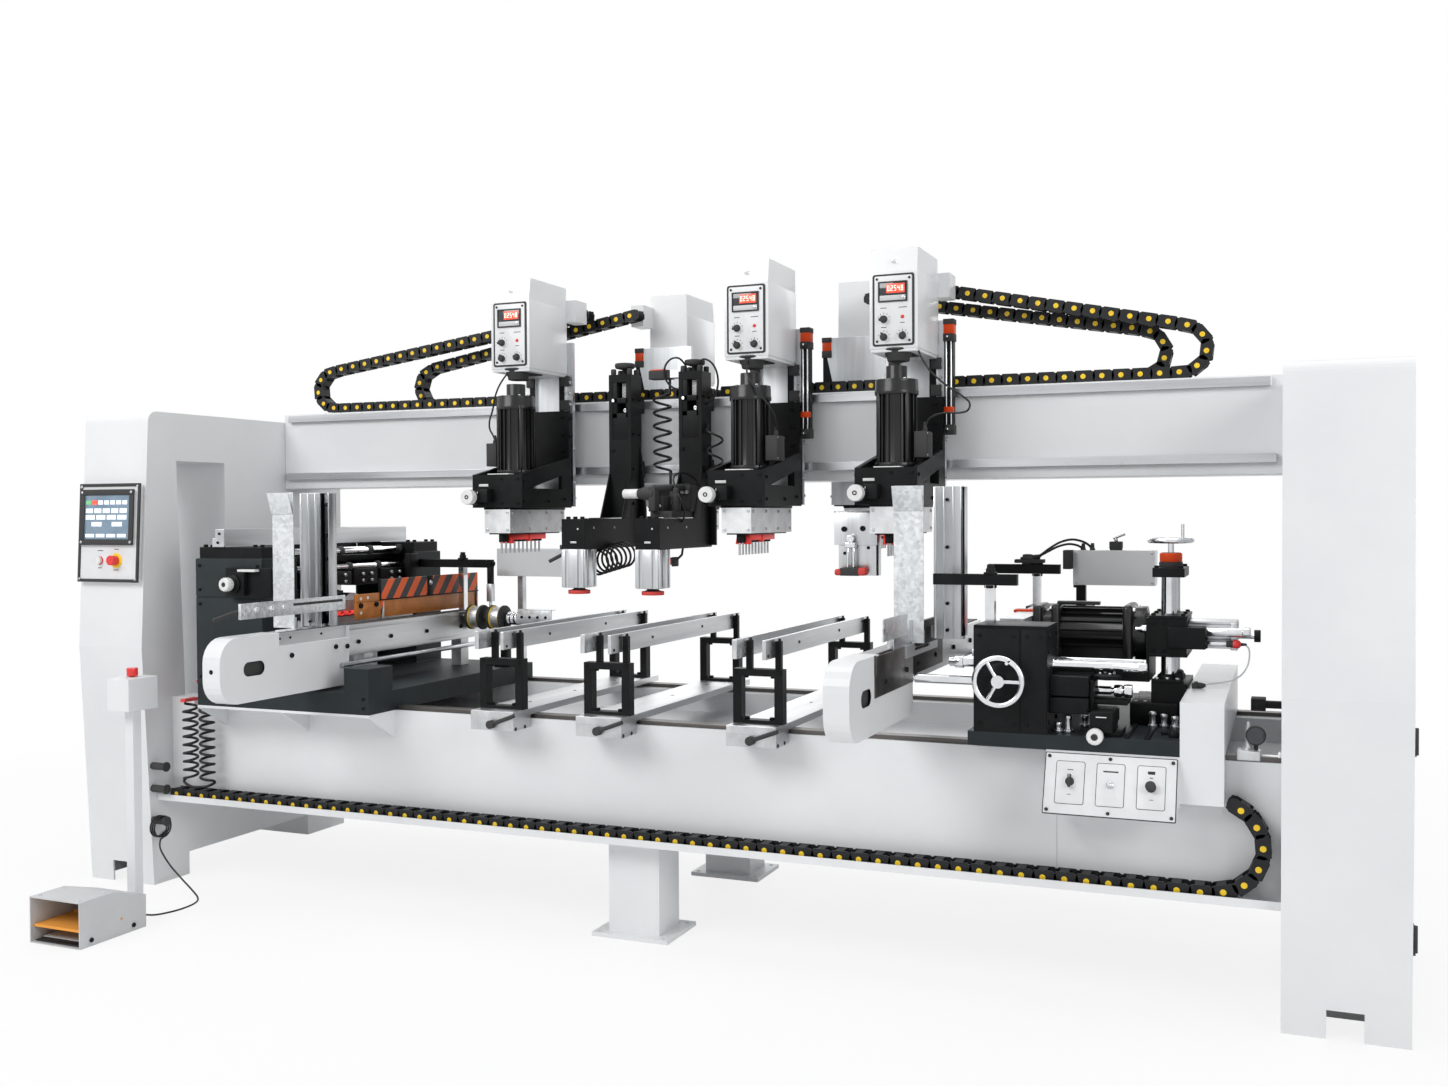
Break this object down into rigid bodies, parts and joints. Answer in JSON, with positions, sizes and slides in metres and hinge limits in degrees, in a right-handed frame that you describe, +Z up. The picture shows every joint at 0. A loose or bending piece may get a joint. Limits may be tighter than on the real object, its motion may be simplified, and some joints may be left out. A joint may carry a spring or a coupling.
{
  "type": "line boring machine",
  "caption": "Woodworking line boring machine: portal frame with bed and gantry, vertical and horizontal drilling heads, hold-down clamps, table supports and conveyors.",
  "frame": {"origin": "on the floor under the middle of the machine's outer size", "axes": "+X along the machine to the operator's right, +Y to the back, +Z up"},
  "size_m": [4.9924, 2.23, 2.455],
  "materials": {
    "white_paint": "satin",
    "dark_paint": "satin",
    "black_paint": "satin",
    "steel": "ground",
    "bright": "polished",
    "alloy": "brushed",
    "red_bits": "lacquered",
    "red_plastic": "gloss",
    "red_rubber": "matte",
    "white_plastic": "gloss",
    "black_plastic": "matte",
    "orange_plastic": "matte"
  },
  "bodies": {
    "frame": {"bed": "white_paint", "guide_rails": "steel", "left_portal": "white_paint", "right_portal": "white_paint", "gantry_beam": "white_paint", "control_panel": "white_plastic", "left_housing": "dark_paint", "left_conveyor": "white_paint", "pedal_box": "white_paint", "estop_post": "white_paint", "hose_pegs": "black_plastic", "air_hose": "black_plastic", "blow_gun": "red_plastic", "pedal_cable": "black_plastic", "pedal_coil": "black_plastic", "bed_chain": "black_plastic", "beam_chains": "black_plastic"},
    "door": {"cabinet_door": "white_paint"},
    "start": {"start_button": "white_plastic"},
    "panel_stop": {"panel_estop": "red_plastic"},
    "post_stop": {"post_estop": "red_plastic"},
    "treadle": {"pedal": "orange_plastic"},
    "head1_slide": {"head1_carriage": "white_paint"},
    "head1_unit": {"head1_ram": "black_paint", "head1_gearbox": "alloy"},
    "head1_chuck": {"head1_spindle": "red_bits"},
    "head1_dial": {"head1_knob": "white_plastic"},
    "head2_slide": {"head2_carriage": "white_paint"},
    "head2_unit": {"head2_ram": "black_paint", "head2_gearbox": "alloy"},
    "head2_chuck": {"head2_spindle": "red_bits"},
    "head2_dial": {"head2_knob": "white_plastic"},
    "head3_slide": {"head3_carriage": "white_paint"},
    "head3_unit": {"head3_ram": "black_paint", "head3_gearbox": "alloy"},
    "head3_chuck": {"head3_spindle": "red_bits"},
    "head3_dial": {"head3_knob": "white_plastic"},
    "rear1_slide": {"rear1_carriage": "white_paint"},
    "rear1_unit": {"rear1_ram": "black_paint"},
    "rear2_slide": {"rear2_carriage": "white_paint"},
    "rear2_unit": {"rear2_ram": "black_paint"},
    "clamp1": {"clamp1_column": "black_paint"},
    "clamp2": {"clamp2_column": "black_paint", "clamp_hose": "black_plastic"},
    "clamp1_foot": {"clamp1_pad": "red_rubber"},
    "clamp2_foot": {"clamp2_pad": "red_rubber"},
    "support1": {"support1_frame": "black_paint"},
    "support1_grip": {"support1_lever": "black_plastic"},
    "support2": {"support2_frame": "black_paint"},
    "support2_grip": {"support2_lever": "black_plastic"},
    "support3": {"support3_frame": "black_paint"},
    "support3_grip": {"support3_lever": "black_plastic"},
    "left_feed_unit": {"left_drill": "alloy"},
    "right_carriage": {"right_base": "dark_paint", "right_conveyor": "white_paint", "right_cover": "white_paint"},
    "right_lift": {"right_saddle": "black_paint"},
    "right_feed_unit": {"right_drill": "alloy"},
    "top_wheel": {"right_top_wheel": "bright"},
    "side_wheel": {"right_side_wheel": "bright"}
  },
  "joints": [
    {"name": "door_hinge", "type": "hinge", "parent": "frame", "child": "door", "pos_m": [2.48825, -0.33, 0.59], "axis": [0, 0, -1], "range_deg": [0, 110]},
    {"name": "start_press", "type": "slide", "parent": "frame", "child": "start", "axis": [0, 0.9985, -0.054], "range_m": [0, 0.004], "stiffness_N_per_m": 800, "springref_m": -0.002},
    {"name": "panel_stop_press", "type": "slide", "parent": "frame", "child": "panel_stop", "axis": [0, 0.9985, -0.054], "range_m": [0, 0.004], "stiffness_N_per_m": 1500, "springref_m": -0.002},
    {"name": "post_stop_press", "type": "slide", "parent": "frame", "child": "post_stop", "axis": [0, 0, -1], "range_m": [0, 0.004], "stiffness_N_per_m": 1500, "springref_m": -0.003},
    {"name": "treadle_press", "type": "hinge", "parent": "frame", "child": "treadle", "pos_m": [-1.86825, -0.929, 0.06], "axis": [1, 0, 0], "range_deg": [0, 12], "stiffness_Nm_per_rad": 12, "springref_deg": -22.92},
    {"name": "head1_travel", "type": "slide", "parent": "frame", "child": "head1_slide", "axis": [1, 0, 0], "range_m": [-0.2, 0.06], "deforming": ["beam_chains"]},
    {"name": "head1_plunge", "type": "slide", "parent": "head1_slide", "child": "head1_unit", "axis": [0, 0, 1], "range_m": [-0.2, 0]},
    {"name": "head1_spin", "type": "hinge", "parent": "head1_unit", "child": "head1_chuck", "pos_m": [-0.70825, -0.004, 1.4], "axis": [0, 0, 1], "continuous": true},
    {"name": "head1_dial_turn", "type": "hinge", "parent": "head1_unit", "child": "head1_dial", "pos_m": [-0.79575, -0.085, 1.586], "axis": [0, 1, 0], "range_deg": [-170, 170]},
    {"name": "head2_travel", "type": "slide", "parent": "frame", "child": "head2_slide", "axis": [1, 0, 0], "range_m": [-0.08, 0.12]},
    {"name": "head2_plunge", "type": "slide", "parent": "head2_slide", "child": "head2_unit", "axis": [0, 0, 1], "range_m": [-0.2, 0]},
    {"name": "head2_spin", "type": "hinge", "parent": "head2_unit", "child": "head2_chuck", "pos_m": [0.30175, -0.004, 1.4], "axis": [0, 0, 1], "continuous": true},
    {"name": "head2_dial_turn", "type": "hinge", "parent": "head2_unit", "child": "head2_dial", "pos_m": [0.21425, -0.085, 1.586], "axis": [0, 1, 0], "range_deg": [-170, 170]},
    {"name": "head3_travel", "type": "slide", "parent": "frame", "child": "head3_slide", "axis": [1, 0, 0], "range_m": [-0.12, 0.08], "deforming": ["beam_chains"]},
    {"name": "head3_plunge", "type": "slide", "parent": "head3_slide", "child": "head3_unit", "axis": [0, 0, 1], "range_m": [-0.2, 0]},
    {"name": "head3_spin", "type": "hinge", "parent": "head3_unit", "child": "head3_chuck", "pos_m": [0.86175, -0.004, 1.4], "axis": [0, 0, 1], "continuous": true},
    {"name": "head3_dial_turn", "type": "hinge", "parent": "head3_unit", "child": "head3_dial", "pos_m": [0.77425, -0.085, 1.586], "axis": [0, 1, 0], "range_deg": [-170, 170]},
    {"name": "rear1_travel", "type": "slide", "parent": "frame", "child": "rear1_slide", "axis": [1, 0, 0], "range_m": [-0.15, 0.15], "deforming": ["beam_chains"]},
    {"name": "rear1_plunge", "type": "slide", "parent": "rear1_slide", "child": "rear1_unit", "axis": [0, 0, 1], "range_m": [-0.2, 0]},
    {"name": "rear2_travel", "type": "slide", "parent": "frame", "child": "rear2_slide", "axis": [1, 0, 0], "range_m": [-0.15, 0.15], "deforming": ["beam_chains"]},
    {"name": "rear2_plunge", "type": "slide", "parent": "rear2_slide", "child": "rear2_unit", "axis": [0, 0, 1], "range_m": [-0.2, 0]},
    {"name": "clamp1_travel", "type": "slide", "parent": "frame", "child": "clamp1", "axis": [1, 0, 0], "range_m": [-0.08, 0.03]},
    {"name": "clamp1_press", "type": "slide", "parent": "clamp1", "child": "clamp1_foot", "axis": [0, 0, 1], "range_m": [-0.08, 0]},
    {"name": "clamp2_travel", "type": "slide", "parent": "frame", "child": "clamp2", "axis": [1, 0, 0], "range_m": [-0.03, 0.07]},
    {"name": "clamp2_press", "type": "slide", "parent": "clamp2", "child": "clamp2_foot", "axis": [0, 0, 1], "range_m": [-0.08, 0]},
    {"name": "support1_travel", "type": "slide", "parent": "frame", "child": "support1", "axis": [1, 0, 0], "range_m": [-0.2, 0.08]},
    {"name": "support1_grip_turn", "type": "hinge", "parent": "support1", "child": "support1_grip", "pos_m": [-0.51325, -0.395, 0.7575], "axis": [0, -1, 0], "range_deg": [-60, 60]},
    {"name": "support2_travel", "type": "slide", "parent": "frame", "child": "support2", "axis": [1, 0, 0], "range_m": [-0.08, 0.1]},
    {"name": "support2_grip_turn", "type": "hinge", "parent": "support2", "child": "support2_grip", "pos_m": [-0.07825, -0.395, 0.7575], "axis": [0, -1, 0], "range_deg": [-60, 60]},
    {"name": "support3_travel", "type": "slide", "parent": "frame", "child": "support3", "axis": [1, 0, 0], "range_m": [-0.1, 0.08]},
    {"name": "support3_grip_turn", "type": "hinge", "parent": "support3", "child": "support3_grip", "pos_m": [0.49675, -0.395, 0.7575], "axis": [0, -1, 0], "range_deg": [-60, 60]},
    {"name": "left_feed", "type": "slide", "parent": "frame", "child": "left_feed_unit", "axis": [1, 0, 0], "range_m": [0, 0.06]},
    {"name": "right_travel", "type": "slide", "parent": "frame", "child": "right_carriage", "axis": [1, 0, 0], "range_m": [-0.12, 0.02], "deforming": ["bed_chain"]},
    {"name": "right_lift_move", "type": "slide", "parent": "right_carriage", "child": "right_lift", "axis": [0, 0, 1], "range_m": [-0.03, 0.03]},
    {"name": "right_feed", "type": "slide", "parent": "right_lift", "child": "right_feed_unit", "axis": [1, 0, 0], "range_m": [-0.06, 0]},
    {"name": "top_wheel_turn", "type": "hinge", "parent": "right_carriage", "child": "top_wheel", "pos_m": [1.79375, 0.125, 1.42], "axis": [0, 0, 1], "range_deg": [-545, 545]},
    {"name": "side_wheel_turn", "type": "hinge", "parent": "right_carriage", "child": "side_wheel", "pos_m": [1.32232, -0.395, 0.99], "axis": [0, -1, 0], "range_deg": [-235, 45]}
  ],
  "couplings": [
    {"joint": "top_wheel_turn", "follows": "right_lift_move", "rad_per_m": 314.16},
    {"joint": "side_wheel_turn", "follows": "right_travel", "rad_per_m": 33.3}
  ]
}
